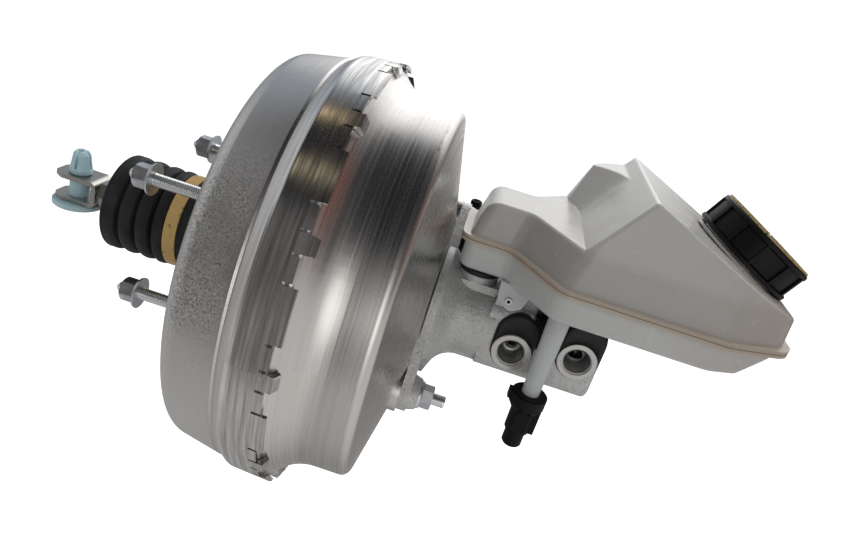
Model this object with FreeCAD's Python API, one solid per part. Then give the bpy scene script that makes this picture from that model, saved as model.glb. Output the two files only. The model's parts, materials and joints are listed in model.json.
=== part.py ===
import FreeCAD, Part
import math
import os

# Vacuum brake booster with tandem cylinder and reservoir, in millimetres.
# The frame has its origin at the middle of the rear mounting face, +X forward and +Z up.

V = FreeCAD.Vector
os.makedirs("parts", exist_ok=True)

# Driving dimensions
sheet = 2.0
rim_r = 135.0
rim_x = 70.8
rim_step = 16.0
front_r = rim_r - rim_step
nose_x = 127.0
pad_r = 64.0
neck_r = 27.2
neck_length = 42.0
neck_space = 5.2
tube_r = neck_r - neck_space
stud_inset_y = 24.0
stud_inset_z = 26.0
stud_y = pad_r - stud_inset_y
stud_z = pad_r - stud_inset_z
stud_r = 4.0
stud_length = 60.0
nut_seat = 45.0
stroke = 30.0
crimp_count = 12
crimp_phase = 1.3
crest_r = 31.0
crest_count = 4
crest_pitch = 11.0
pin_x = -114.7
pin_r = 6.2
fork_gap = 12.0
fork_half = 10.0
fork_sheet = 3.0
bore_r = 11.9
barrel_r = 25.5
cylinder_front = 237.0
flange_sheet = 6.0
lug_y = 40.0
lug_z = 44.0
port_y = 25.0
port_ring_r = 12.3
reservoir_rear = 132.0
reservoir_front = 322.0
narrow_half = 22.5
wide_half = 58.0
seam_z = 57.5
floor_z = 37.0
shelf_z = 81.5
crest_z = 117.0
crest_x = 223.0
wall = 2.4
mould_r = 2.0
floor_r = 4.5
cap_r = 33.0
cap_height = 18.8
cap_tilt = 27.0
probe_r = 6.3

# Clearances
slide_fit = 0.06
press_gap = 0.05
air_gap = 0.3


def rounded_wire(points, place):
    """Closed wire through (u, v) or (u, v, corner radius) points, mapped by place."""
    flat = [V(p[0], p[1], 0) for p in points]
    ends = []
    for i, p in enumerate(points):
        here = flat[i]
        radius = p[2] if len(p) > 2 else 0.0
        a = (here - flat[i - 1]).normalize()
        b = (flat[(i + 1) % len(flat)] - here).normalize()
        turn = a.getAngle(b)
        if radius <= 0.0 or turn < 0.01:
            ends.append((here, None, here))
            continue
        run = radius * math.tan(turn / 2)
        inward = (b - a).normalize()
        middle = here + inward * (radius / math.cos(turn / 2) - radius)
        ends.append((here - a * run, middle, here + b * run))
    edges = []
    for i, (start, middle, stop) in enumerate(ends):
        if middle is not None:
            edges.append(Part.Arc(place(start), place(middle), place(stop)).toShape())
        after = ends[(i + 1) % len(ends)][0]
        if (after - stop).Length > 1e-6:
            edges.append(Part.LineSegment(place(stop), place(after)).toShape())
    return Part.Wire(edges)


def turned(points, base=V(0, 0, 0), axis=V(1, 0, 0)):
    """Solid of revolution of (s, r) points about the axis through base."""
    face = Part.Face(rounded_wire(points, lambda q: V(q.x, q.y, 0)))
    solid = face.revolve(V(0, 0, 0), V(1, 0, 0), 360)
    solid.Placement = FreeCAD.Placement(base, FreeCAD.Rotation(V(1, 0, 0), axis))
    return solid


def sector(points, start, stop):
    """Part of a revolution of (x, r) points between two angles from +Y towards +Z."""
    face = Part.Face(rounded_wire(points, lambda q: V(q.x, q.y, 0)))
    face.rotate(V(0, 0, 0), V(1, 0, 0), start)
    return face.revolve(V(0, 0, 0), V(1, 0, 0), stop - start)


def box_ring(x0, x1, r0, r1):
    return [(x0, r0), (x1, r0), (x1, r1), (x0, r1)]


def rod(r, x0, x1, y=0.0, z=0.0):
    return Part.makeCylinder(r, x1 - x0, V(x0, y, z), V(1, 0, 0))


def post(r, z0, z1, x, y):
    return Part.makeCylinder(r, z1 - z0, V(x, y, z0), V(0, 0, 1))


def block(x0, x1, y0, y1, z0, z1):
    return Part.makeBox(x1 - x0, y1 - y0, z1 - z0, V(x0, y0, z0))


def offset_path(path, t):
    """The open path moved by t to its right, with its corner radii."""
    flat = [V(p[0], p[1], 0) for p in path]
    other = []
    for i, p in enumerate(path):
        here = flat[i]
        a = (here - flat[i - 1]).normalize() if i > 0 else (flat[1] - here).normalize()
        b = (flat[i + 1] - here).normalize() if i < len(flat) - 1 else a
        na = V(a.y, -a.x, 0)
        nb = V(b.y, -b.x, 0)
        moved = here + (na + nb) * (t / (1 + na.dot(nb)))
        radius = p[2] if len(p) > 2 else 0.0
        if radius > 0:
            left_turn = a.x * b.y - a.y * b.x > 0
            radius = radius + t if left_turn else max(radius - t, 0.2)
        other.append((moved.x, moved.y, radius))
    return other


def sheet_section(path, t):
    """Closed section of a sheet of thickness t on the right of an open path."""
    return list(path) + offset_path(path, t)[::-1]


def extruded(points, place, along):
    return Part.Face(rounded_wire(points, place)).extrude(along)


def plan_prism(points, z0, z1):
    return extruded(points, lambda q: V(q.x, q.y, z0), V(0, 0, z1 - z0))


def side_prism(points, y0, y1):
    return extruded(points, lambda q: V(q.x, y0, q.y), V(0, y1 - y0, 0))


def hexagon(af, x0, x1, y=0.0, z=0.0):
    """Hexagonal prism along X with chamfered corners."""
    far = af / math.sqrt(3)
    corners = []
    for k in range(7):
        a = math.radians(60 * k)
        corners.append(V(x0, y + far * math.cos(a), z + far * math.sin(a)))
    prism = Part.Face(Part.makePolygon(corners)).extrude(V(x1 - x0, 0, 0))
    low = af / 2 + 0.1
    cut = (far - low) * 0.6
    barrel = turned([(x0, 0), (x0, low), (x0 + cut, far), (x1 - cut, far), (x1, low), (x1, 0)],
                    V(0, y, z))
    return prism.common(barrel)


def coil(r, wire, x0, x1, turns):
    """Compression spring along X between the planes x0 and x1, with four faces round the wire."""
    height = x1 - x0 - 2 * wire
    helix = Part.makeHelix(height / turns, height, r)
    arcs = [Part.makeCircle(wire, V(r, 0, 0), V(0, 1, 0), a, a + 90) for a in (0, 90, 180, 270)]
    body = Part.Wire(helix).makePipeShell([Part.Wire(arcs)], True, True)
    body.Placement = FreeCAD.Placement(V(x0 + wire, 0, 0), FreeCAD.Rotation(V(0, 0, 1), V(1, 0, 0)))
    return body


def save(node, solids):
    if not isinstance(solids, list):
        solids = [solids]
    shape = solids[0] if len(solids) == 1 else Part.makeCompound(solids)
    shape.exportStep("parts/" + node + ".step")


corners = [(sy * stud_y, sz * stud_z) for sy in (-1, 1) for sz in (-1, 1)]
lugs = [(-lug_y, -lug_z), (lug_y, lug_z)]

# Rear shell with the neck, the pad and the crimped rim
back_x = 6.0
wall_r = rim_r - 12.0
step_x = rim_x - 30.5
band_x = rim_x - 22.3
band_r = rim_r - 1.4
rear_path = [
    (-neck_length, neck_r),
    (0, neck_r, 2.5),
    (0, pad_r, 4.0),
    (back_x, pad_r + 6.0, 4.0),
    (back_x, wall_r, 11.4),
    (step_x - 1.5, rim_r - 5.6, 1.0),
    (step_x, rim_r - 6.3, 0.8),
    (step_x + 1.5, rim_r - 5.4, 1.0),
    (band_x - 2.0, rim_r - 2.1, 3.0),
    (band_x, band_r, 3.0),
    (rim_x, rim_r),
]
rear_shell = turned(sheet_section(rear_path, sheet))


def band_inner(x):
    """Inner radius of the rim band at x."""
    return rim_r - sheet - (rim_r - band_r) * (rim_x - x) / (rim_x - band_x)


shoulder_x = rim_x - 3.6
shoulder_r = band_inner(shoulder_x) - 2 * press_gap
flare = math.radians(47)
flare_x = shoulder_x + (shoulder_r - front_r) / math.tan(flare)
recess = 3.4
cuts = []
tabs = []
for k in range(crimp_count):
    middle = crimp_phase + 360.0 * k / crimp_count
    for side in (-1, 1):
        a, b = sorted((middle + side * 2.1, middle + side * 8.9))
        cuts.append(sector(box_ring(rim_x - recess, rim_x + 2, rim_r - 5, rim_r + 5), a, b))
        for edge in (2.5, 8.5):
            a, b = middle + side * edge - 0.35, middle + side * edge + 0.35
            cuts.append(sector(box_ring(rim_x - 8.0, rim_x, rim_r - 5, rim_r + 5), a, b))
    foot_x = shoulder_x + 1.5
    foot_r = shoulder_r - 1.5 + 2 * press_gap
    drop = 2.4
    tab = [
        (shoulder_x + 0.3, band_inner(shoulder_x) + 0.3),
        (foot_x + 0.2, foot_r),
        (foot_x + 0.2 + drop, foot_r - drop * math.tan(flare)),
        (foot_x + 1.8 + drop, foot_r + 1.5 - drop * math.tan(flare)),
        (rim_x + 0.2, rim_r - 0.9),
        (rim_x - 1.2, rim_r - 0.2),
    ]
    tabs.append(sector(tab, middle - 2.0, middle + 2.0))
for y, z in corners:
    cuts.append(rod(stud_r + 0.6 + press_gap, -1, sheet + 1, y, z))
rear_shell = rear_shell.cut(cuts)
rear_shell = rear_shell.fuse(tabs)
save("rear_shell", rear_shell)

# Rear studs and their flange nuts
studs = []
nuts = []
core_r = stud_r - 0.4
for y, z in corners:
    studs.append(turned([
        (-stud_length, 0), (-stud_length, 1.6), (-stud_length + 2, core_r), (-nut_seat, core_r),
        (-nut_seat, stud_r), (0, stud_r), (0, stud_r + 0.6), (sheet, stud_r + 0.6),
        (sheet, 9.0), (sheet + 2.2, 9.0), (sheet + 3, 8.0), (sheet + 3, 0)], V(0, y, z)))
    nut = hexagon(13.0, -nut_seat - 11.0, -nut_seat - 2.0, y, z)
    washer = turned([(-nut_seat - 3.6, 0), (-nut_seat - 3.6, 6.4), (-nut_seat - 1.4, 9.6, 0.5),
                     (-nut_seat, 9.9), (-nut_seat, 0)], V(0, y, z))
    nuts.append(nut.fuse(washer).cut(rod(core_r + press_gap, -stud_length, 0, y, z)))
save("mounting_studs", studs)
save("mounting_nuts", nuts)

# Front shell with flat pads for the cylinder studs and the check valve
cone = math.tan(math.radians(12.3))
nose_r = 50.5
cone_x = nose_x - (front_r - nose_r) * cone
spigot_r = 22.0
valve_y = 66.0
valve_z = 20.0
front_path = [
    (rim_x - 15.8, band_inner(rim_x - 15.8) - press_gap * 2),
    (shoulder_x, shoulder_r, 3.0),
    (flare_x, front_r, 28.0),
    (cone_x, front_r, 5.5),
    (nose_x, nose_r, 8.0),
    (nose_x, spigot_r + slide_fit),
]
pads = [(14.5, y, z) for y, z in lugs] + [(17.0, valve_y, valve_z)]
inner_path = offset_path(front_path, sheet)
start_x = front_path[0][0]
front_outer = turned([(start_x, 0)] + front_path[:-1] + [(nose_x, 0)])
front_inner = turned([(start_x - 1, 0), (start_x - 1, inner_path[0][1])] + inner_path[:-1]
                     + [(nose_x - sheet, 0)])
front_outer = front_outer.fuse([rod(r, cone_x - 5, nose_x, y, z) for r, y, z in pads])
front_inner = front_inner.fuse([rod(r - sheet, cone_x - 9, nose_x - sheet, y, z) for r, y, z in pads])
front_shell = front_outer.cut(front_inner)
front_cuts = [rod(stud_r + 0.9 + press_gap, nose_x - 9, nose_x + 1, y, z) for y, z in lugs]
front_cuts.append(rod(10.0 + press_gap, nose_x - 9, nose_x + 1, valve_y, valve_z))
front_cuts.append(rod(spigot_r + slide_fit, nose_x - 9, nose_x + 1))
front_shell = front_shell.cut(front_cuts)
save("front_shell", front_shell)

# Ring inside the front shell that carries the cylinder studs and the spring
inner_x = nose_x - sheet - press_gap
ring_path = [
    (inner_x - (74.0 - nose_r) * cone, 74.0),
    (inner_x, nose_r, 6.0),
    (inner_x, spigot_r + 4.0),
]
stud_ring = turned(sheet_section(ring_path, sheet))
ring_face = inner_x - sheet
head_x = ring_face - 4.2
ring_cuts = [rod(stud_r + 0.9 + press_gap, nose_x - 20, nose_x + 1, y, z) for y, z in lugs]
ring_cuts.append(rod(15.0, nose_x - 20, nose_x + 1, valve_y, valve_z))
stud_ring = stud_ring.cut(ring_cuts)
save("stud_ring", stud_ring)

# Cylinder studs and nuts
flange_x = nose_x + flange_sheet
boss_x = flange_x + 5.4
nut_x = boss_x + 1.2
long_studs = []
long_nuts = []
for y, z in lugs:
    long_studs.append(turned([
        (head_x - 3, 0), (head_x - 3, 6.5), (head_x - 2.2, 7.5), (head_x, 7.5),
        (head_x, stud_r + 0.9), (nose_x, stud_r + 0.9), (nose_x, stud_r),
        (nut_x + 14.2, stud_r), (nut_x + 15.2, stud_r - 1.0), (nut_x + 15.2, 0)], V(0, y, z)))
    washer = turned([(boss_x + press_gap, 0), (boss_x + press_gap, 8.6), (nut_x, 8.6),
                     (nut_x + 0.6, 7.8), (nut_x + 0.6, 0)], V(0, y, z))
    nut = hexagon(13.0, nut_x, nut_x + 7.2, y, z).fuse(washer)
    long_nuts.append(nut.cut(rod(stud_r + press_gap, nose_x, nut_x + 20, y, z)))
save("master_cylinder_studs", long_studs)
save("master_cylinder_nuts", long_nuts)

# Guide ring and lip seal in the neck
neck_in = neck_r - sheet
guide = turned(box_ring(-neck_length + 0.5, -neck_length + 6.0, tube_r + slide_fit, neck_in - press_gap))
save("guide_ring", guide)
lip_x = -neck_length + 6.1
seal = turned([
    (lip_x, tube_r + slide_fit), (lip_x + 3.0, tube_r + slide_fit), (lip_x + 5.0, tube_r + 1.2),
    (lip_x + 9.0, tube_r + slide_fit), (lip_x + 10.0, tube_r + slide_fit + 0.4),
    (lip_x + 7.0, neck_in - press_gap), (lip_x, neck_in - press_gap)])
save("neck_seal", seal)

# Valve body, the moulded hub of the power piston
tail_x = -80.9
hub_r = 24.0
seat_x = 14.0
hub_x = 38.0
disc_r = 13.0
disc_x = 31.0
plunger_r = 6.0
hollow_r = tube_r - 3.4
valve_body = turned([
    (tail_x, hollow_r), (tail_x, tube_r - 0.8), (tail_x + 0.8, tube_r), (seat_x - 4.0, tube_r),
    (seat_x - 4.0, 34.0), (seat_x, 34.0), (seat_x, hub_r), (hub_x - 1.0, hub_r), (hub_x, hub_r - 1.0),
    (hub_x, disc_r + press_gap), (disc_x, disc_r + press_gap), (disc_x, plunger_r), (2.0, plunger_r),
    (2.0, hollow_r)])
passages = []
for k in range(8):
    a = math.radians(45 * k + 22.5)
    passages.append(rod(2.0, 0, hub_x + 1, 18.4 * math.cos(a), 18.4 * math.sin(a)))
key_x = 4.0
passages.append(block(key_x, key_x + 3.1, -30, 30, -7.1, 7.1))
valve_body = valve_body.cut(passages)
save("valve_body", valve_body)

# Fork key across the valve body
key = block(key_x + press_gap, key_x + 3.0, -27, 27, -7, 7)
key = key.cut(block(key_x - 1, key_x + 5, -3.4, 28, -3.4, 3.4))
save("cross_key", key)

# Power piston plate and its rolling diaphragm
plate_path = [
    (seat_x + press_gap, hub_r + press_gap),
    (seat_x + press_gap, pad_r - 8.0, 3.0),
    (seat_x - 2.4, pad_r + 2.0, 3.0),
    (seat_x - 2.4, rim_r - 24.0, 4.0),
    (seat_x + 8.0, rim_r - 21.0),
]
plate = turned(sheet_section(plate_path, 1.6))
save("diaphragm_plate", plate)
rubber = 1.6
bead_x = rim_x - 15.8 - press_gap
rear_gap = rubber + press_gap
diaphragm_path = [
    (seat_x - rear_gap + press_gap, 36.0),
    (seat_x - rear_gap + press_gap, pad_r - 8.4, 3.0),
    (seat_x - 2.4 - rear_gap, pad_r + 1.6, 3.0),
    (seat_x - 2.4 - rear_gap, rim_r - 22.4, 5.6),
    (seat_x + 9.0, rim_r - 18.0, 6.0),
    (bead_x - 5.0, rim_r - 8.4, 4.0),
    (bead_x - 0.2, rim_r - 6.4),
]
diaphragm = turned(sheet_section(diaphragm_path, rubber))
bead_out = band_inner(bead_x - 4.6) - 2 * air_gap
bead = turned(box_ring(bead_x - 4.2, bead_x, rim_r - 8.0, bead_out))
save("diaphragm", diaphragm.fuse(bead))

# Input valve: plunger with the ball socket, poppet and springs
ball_x = -8.0
ball_r = 5.0
plunger = turned([
    (ball_x - 3.0, 0), (ball_x - 3.0, 8.0), (ball_x - 2.4, 8.6), (0.4, 8.6), (0.4, plunger_r - slide_fit),
    (2.5, plunger_r - slide_fit), (2.5, 3.0), (8.3, 3.0), (8.3, plunger_r - slide_fit),
    (disc_x - 1.4, plunger_r - slide_fit), (disc_x - 1.4, 0)])
socket = Part.makeSphere(ball_r + slide_fit, V(ball_x, 0, 0))
mouth = turned([(ball_x - 3.5, 0), (ball_x - 3.5, 4.6), (ball_x - 1.0, 3.9), (ball_x - 1.0, 0)])
save("valve_plunger", plunger.cut([socket, mouth]))
poppet_x = ball_x - 4.2
poppet_path = [
    (poppet_x, 5.6), (poppet_x, 15.5, 1.0), (poppet_x - 4.0, 15.2, 1.0),
    (poppet_x - 6.5, 13.0, 1.0), (poppet_x - 9.5, 13.0, 1.0), (poppet_x - 12.0, hollow_r - press_gap),
]
poppet = turned(sheet_section(poppet_path[::-1], 1.4))
save("poppet_valve", poppet)
cup_x = poppet_x - 19.5
cup = turned([
    (cup_x, 9.0), (cup_x + 1.4, 9.0), (cup_x + 1.4, hollow_r - 2.6), (cup_x + 6.0, hollow_r - 2.6),
    (cup_x + 6.0, hollow_r - press_gap), (cup_x, hollow_r - press_gap)])
save("poppet_cup", cup)
save("poppet_spring", coil(9.5, 0.8, cup_x + 1.4, poppet_x - 1.5, 4))
collar_x = cup_x - 18.0
save("rod_return_spring", coil(11.2, 1.0, collar_x + 0.6, cup_x, 3.5))

# Input rod with its ball, then the fork, its nut and the split pin
web_x = pin_x + 16.5
rod_r = 5.3
thread_r = 4.9
rod_end = web_x - 3.3
shaft = turned([
    (rod_end, 0), (rod_end, thread_r - 0.9), (rod_end + 1, thread_r), (tail_x - 5.0, thread_r),
    (tail_x - 4.6, rod_r), (collar_x - 2, rod_r), (collar_x - 2, 12.0), (collar_x, 12.0),
    (collar_x, 5.0), (-20, 5.0), (-16, 2.9), (ball_x, 2.9), (ball_x, 0)])
save("input_rod", shaft.fuse(Part.makeSphere(ball_r, V(ball_x, 0, 0))))
grommet_x = tail_x + 0.7
save("boot_collar", turned([
    (grommet_x, rod_r + press_gap), (grommet_x + 2.4, rod_r + press_gap), (grommet_x + 2.4, 7.0),
    (grommet_x + 1.4, 7.6), (grommet_x + 1.4, 12.6), (grommet_x, 13.0)]))
nut = hexagon(16.0, web_x + press_gap, web_x + 6.4)
save("clevis_locknut", nut.cut(rod(thread_r + press_gap, web_x - 1, web_x + 9)))
arm = fork_gap / 2 + fork_sheet
tip_x = pin_x - 13.3
fork_path = [(tip_x, arm), (web_x, arm, 4.5), (web_x, -arm, 4.5), (tip_x, -arm)]
fork = side_prism(sheet_section(fork_path, fork_sheet), -fork_half, fork_half)
fork_plan = [
    (tip_x, -fork_half + 4.5, 2.0), (tip_x + 6.0, -fork_half, 4.0), (web_x + 1, -fork_half),
    (web_x + 1, fork_half), (tip_x + 6.0, fork_half, 4.0), (tip_x, fork_half - 4.5, 2.0)]
fork = fork.common(plan_prism(fork_plan, -arm - 1, arm + 1))
fork = fork.cut(post(pin_r + slide_fit, -arm - 1, arm + 1, pin_x, 0))
fork = fork.cut(rod(thread_r + press_gap, web_x - 9, web_x + 1))
save("clevis", fork)
up = V(0, 0, 1)
pin = turned([
    (-arm - 3.9, 0), (-arm - 3.9, 14.6), (-arm - 3.2, 15.8), (-arm - 0.9, 15.9), (-arm - 0.3, 15.2),
    (-arm - 0.3, pin_r), (arm + 0.3, pin_r), (arm + 0.8, pin_r + 0.8), (arm + 2.6, pin_r + 0.9),
    (arm + 6.0, pin_r + 0.1), (arm + 13.0, pin_r - 0.9), (arm + 15.0, pin_r - 2.2), (arm + 15.0, 0)],
    V(pin_x, 0, 0), up)
slots = [
    block(pin_x - 0.9, pin_x + 0.9, -9, 9, arm + 3.5, arm + 16),
    block(pin_x - 9, pin_x + 9, -0.9, 0.9, arm + 3.5, arm + 16),
    post(2.4, arm + 5, arm + 16, pin_x, 0)]
save("clevis_pin", pin.cut(slots))

# Filter in the tail of the valve body
save("air_filter", turned(box_ring(tail_x + 4.0, tail_x + 17.0, 10.6, hollow_r - press_gap)))
save("filter_retainer", turned([
    (tail_x + 17.1, 10.4), (tail_x + 18.6, 10.4), (tail_x + 18.6, hollow_r - 1.4),
    (tail_x + 21.0, hollow_r - 1.0), (tail_x + 21.0, hollow_r - press_gap),
    (tail_x + 17.1, hollow_r - press_gap)]))

# Dust boot: bellows, sleeve on the neck and the band that holds it
boot_sheet = 1.5
fold_x = -neck_length + 0.4
boot_end = tail_x - boot_sheet - press_gap
first = fold_x - 3.1 - (crest_count - 1) * crest_pitch
boot_path = [(boot_end, 10.0), (boot_end, crest_r - 0.6, 2.2), (first - 3.4, crest_r, 1.0)]
for k in range(crest_count):
    crest = first + k * crest_pitch
    if k > 0:
        boot_path.append((crest - crest_pitch / 2, crest_r - 4.0, 1.0))
        boot_path.append((crest - 3.9, crest_r, 1.6))
    if k < crest_count - 1:
        boot_path.append((crest + 3.9, crest_r, 1.6))
sleeve_r = neck_r + press_gap + 2.3
boot_path.append((fold_x - 2.6, crest_r, 1.0))
boot_path.append((fold_x - 0.1, sleeve_r))
save("boot", turned(sheet_section(boot_path, boot_sheet)))
save("boot_sleeve", turned([
    (fold_x, neck_r + press_gap), (-3.0, neck_r + press_gap), (-3.0, sleeve_r + 0.2),
    (-8.0, sleeve_r, 3.0), (fold_x, sleeve_r)]))
save("boot_band", turned([
    (fold_x + 0.4, sleeve_r + press_gap), (fold_x + 8.6, sleeve_r + press_gap),
    (fold_x + 8.6, sleeve_r + 0.75, 0.3), (fold_x + 0.4, sleeve_r + 0.75, 0.3)]))

# Reaction disc, output rod and return spring
save("reaction_disc", rod(disc_r, disc_x + press_gap, disc_x + 5.0))
rear_end = 100.0
socket_r = 7.6
foot = disc_x + 5.0 + press_gap
save("output_rod", turned([
    (foot, 0), (foot, disc_r - 0.1), (foot + 4.5, disc_r - 0.1), (foot + 6, disc_r - 2),
    (foot + 8, socket_r - 0.8), (rear_end + 13.0, socket_r - 0.8), (rear_end + 18.0, 3.0),
    (rear_end + 18.0, 0)]))
plate_front = seat_x + press_gap + 1.6
save("return_spring", coil(hub_r + 12.0, 2.0, plate_front + press_gap, ring_face - press_gap, 5))
save("shell_seal", turned(box_ring(ring_face + press_gap, inner_x, spigot_r + press_gap,
                                   spigot_r + 4.0 - press_gap)))

# Pistons, springs and cups of the tandem cylinder
piston_r = bore_r - slide_fit
primary_length = 72.0
primary_front = rear_end + primary_length
save("primary_piston", turned([
    (rear_end, socket_r), (rear_end, piston_r - 0.8), (rear_end + 0.8, piston_r),
    (primary_front, piston_r), (primary_front, 8.0), (primary_front - 14, 8.0),
    (primary_front - 14, 0), (rear_end + 18.1, 0), (rear_end + 18.1, 3.4), (rear_end + 13.0, socket_r)]))
secondary_rear = primary_front + 18.0
secondary_front = secondary_rear + 22.0
save("secondary_piston", turned([
    (secondary_rear, 0), (secondary_rear, piston_r), (secondary_front, piston_r),
    (secondary_front, 8.0), (secondary_front - 10, 8.0), (secondary_front - 10, 0)]))
bore_end = secondary_front + 19.0
save("primary_spring", coil(6.4, 0.9, primary_front - 13.9, secondary_rear - 0.1, 5))
save("secondary_spring", coil(6.4, 0.9, secondary_front - 9.9, bore_end - 0.1, 5))
cup_places = [rear_end + stroke + 5.0, rear_end + stroke + 18.0, secondary_front - 5.5]
cup_r = bore_r + 2.6
cup_width = 3.6
cups = []
for x in cup_places:
    cups.append(turned([
        (x + press_gap, bore_r), (x + press_gap, cup_r - press_gap),
        (x + cup_width - press_gap, cup_r - press_gap), (x + cup_width - press_gap, cup_r - 1.2),
        (x + 1.6, bore_r + 1.3), (x + cup_width - 0.6, bore_r)]))
save("cylinder_cups", cups)

# Tandem cylinder casting
lug_r = 12.5
disc_half = 29.0
span = math.hypot(lug_y, lug_z)
lean = math.acos((disc_half - lug_r) / span)
turn = math.atan2(lug_z, lug_y)
web = []
for end, side in ((0, 1), (0, -1), (math.pi, 1), (math.pi, -1)):
    a = turn + end + side * lean
    far = V(0, math.cos(turn + end) * span, math.sin(turn + end) * span)
    out = V(0, math.cos(a), math.sin(a))
    pair = [out * disc_half, far + out * lug_r]
    web.append(pair)
quad_a = [web[0][0], web[0][1], web[1][1], web[1][0]]
quad_b = [web[2][0], web[2][1], web[3][1], web[3][0]]
casting = rod(disc_half, nose_x, flange_x)
for quad in (quad_a, quad_b):
    wire = Part.makePolygon([p + V(nose_x, 0, 0) for p in quad + quad[:1]])
    casting = casting.fuse(Part.Face(wire).extrude(V(flange_sheet, 0, 0)))
pieces = []
for y, z in lugs:
    pieces.append(rod(lug_r, nose_x, flange_x, y, z))
    pieces.append(turned([(flange_x - 1, 0), (flange_x - 1, 11.4), (flange_x, 11.2),
                          (boss_x - 0.8, 9.8, 0.5), (boss_x, 9.2), (boss_x, 0)], V(0, y, z)))
block_x = nose_x + 37.0
rib_r = span - lug_r - 2.0
rib = side_prism([
    (flange_x - 1, -barrel_r + 6), (flange_x - 1, -rib_r), (flange_x + 2.0, -rib_r), (flange_x + 9.0, -barrel_r - 1.5, 16.0),
    (block_x + 2, -barrel_r - 1.5), (block_x + 2, -barrel_r + 6)], -5.0, 5.0)
rib.rotate(V(0, 0, 0), V(1, 0, 0), -math.degrees(math.atan2(lug_y, lug_z)) * 0.45)
pieces.append(rib)
pieces.append(rod(spigot_r, nose_x - 15.0, nose_x + 1))
pieces.append(turned([
    (nose_x + 1, 0), (nose_x + 1, 38.0), (flange_x - 0.5, 38.0, 2.0), (nose_x + 18.0, barrel_r, 14.0),
    (block_x + 5, barrel_r), (block_x + 5, 0)]))
half_y = port_y - 3.0
body = extruded([
    (-half_y, -24.5, 10.0), (20.0, -24.5, 10.0), (20.0, 22.0, 8.0), (-half_y, 22.0, 8.0)],
    lambda q: V(block_x, q.x, q.y), V(cylinder_front - block_x, 0, 0))
front_edges = []
for edge in body.Edges:
    box = edge.BoundBox
    if box.XMin > cylinder_front - 0.1:
        front_edges.append(edge)
body = body.makeFillet(3.0, front_edges)
pieces.append(body)
ports = [(nose_x + 56.6, -5.0), (nose_x + 95.8, 3.0)]
port_axis = V(0, -1, 0)
for x, z in ports:
    pieces.append(turned([
        (5.0, 0), (5.0, port_ring_r - 0.5), (port_y - 3.2, port_ring_r - 0.5),
        (port_y - 2.8, port_ring_r), (port_y - 0.4, port_ring_r), (port_y, port_ring_r - 0.5),
        (port_y, 0)], V(x, 0, z), port_axis))
spigots = [nose_x + 23.0, nose_x + 80.0]
top_z = floor_z - 6.0
pieces.append(block(flange_x - 1, nose_x + 48.0, -13, 13, 12, top_z - 4.0))
for x in spigots:
    pieces.append(post(13.0, 12, top_z, x, 0))
hook_x = nose_x + 44.5
hook_z = floor_z - 9.5
pieces.append(block(hook_x - 6.5, hook_x + 6.5, -19, 19, 12, hook_z + 5.5))
casting = casting.fuse(pieces)
holes = [rod(bore_r + 0.0, nose_x - 16, bore_end)]
for x in cup_places:
    holes.append(rod(cup_r, x, x + cup_width))
for y, z in lugs:
    holes.append(rod(stud_r + 0.9, nose_x - 1, boss_x + 1, y, z))
for x, z in ports:
    holes.append(turned([
        (8.0, 0), (8.0, 2.2), (port_y - 14.0, 2.2), (port_y - 12.5, 7.2), (port_y - 2.0, 7.2),
        (port_y - 1.0, 9.0), (port_y + 1, 9.0), (port_y + 1, 0)], V(x, 0, z), port_axis))
for x in spigots:
    holes.append(post(10.0, top_z - 10.0, top_z + 1, x, 0))
    holes.append(post(12.4 + 2 * press_gap, top_z, top_z + 9.0, x, 0))
    holes.append(post(1.8, 9.0, top_z, x, 0))
hook_pin_r = 2.2
holes.append(Part.makeCylinder(hook_pin_r + press_gap, 80, V(hook_x, -40, hook_z), V(0, 1, 0)))
save("cylinder_body", casting.cut(holes))

# Reservoir grommets and the pin that holds the reservoir
seals = []
spigot_out = 7.0
for x in spigots:
    seals.append(turned([
        (top_z - 9.8, spigot_out + press_gap), (top_z - 9.8, 9.4), (top_z - 9.0, 10.0 - press_gap),
        (top_z + press_gap, 10.0 - press_gap), (top_z + press_gap, 12.4), (top_z + 2.6, 12.0),
        (top_z + 2.6, spigot_out + press_gap)], V(x, 0, 0), up))
save("reservoir_grommets", seals)
hook_pin = Part.makeCylinder(hook_pin_r, 52, V(hook_x, -26, hook_z), V(0, 1, 0))
hook_pin = hook_pin.cut(Part.makeCylinder(1.1, 54, V(hook_x, -27, hook_z), V(0, 1, 0)))
save("reservoir_pin", hook_pin)


def plan(z, grow, narrow, wide, rear, front):
    """Closed plan of the reservoir at height z, grown outwards by grow."""
    slide = 0.42 * grow
    side = [
        (rear - grow, narrow + grow, 7.0 + grow / 2),
        (rear + 28.0 - slide, narrow + grow, 9.0),
        (rear + 58.0 - slide, wide + grow, 11.0),
        (front - 34.0, wide + grow, 26.0),
        (front + grow, wide + grow - 15.0, 14.0),
    ]
    ring = [(x, -y, r) for x, y, r in side] + [(x, y, r) for x, y, r in side[::-1]]
    return rounded_wire(ring, lambda q: V(q.x, q.y, z))


rear_wall = reservoir_rear + 4.0
slope = math.tan(math.radians(23.5))
front_low = crest_z - (reservoir_front + 12 - crest_x) * slope
foot_x = crest_x - 25.5
lean_back = math.atan2(crest_x - foot_x, crest_z - shelf_z)
scoop_y = 10.0
scoop_r = 50.0


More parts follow.
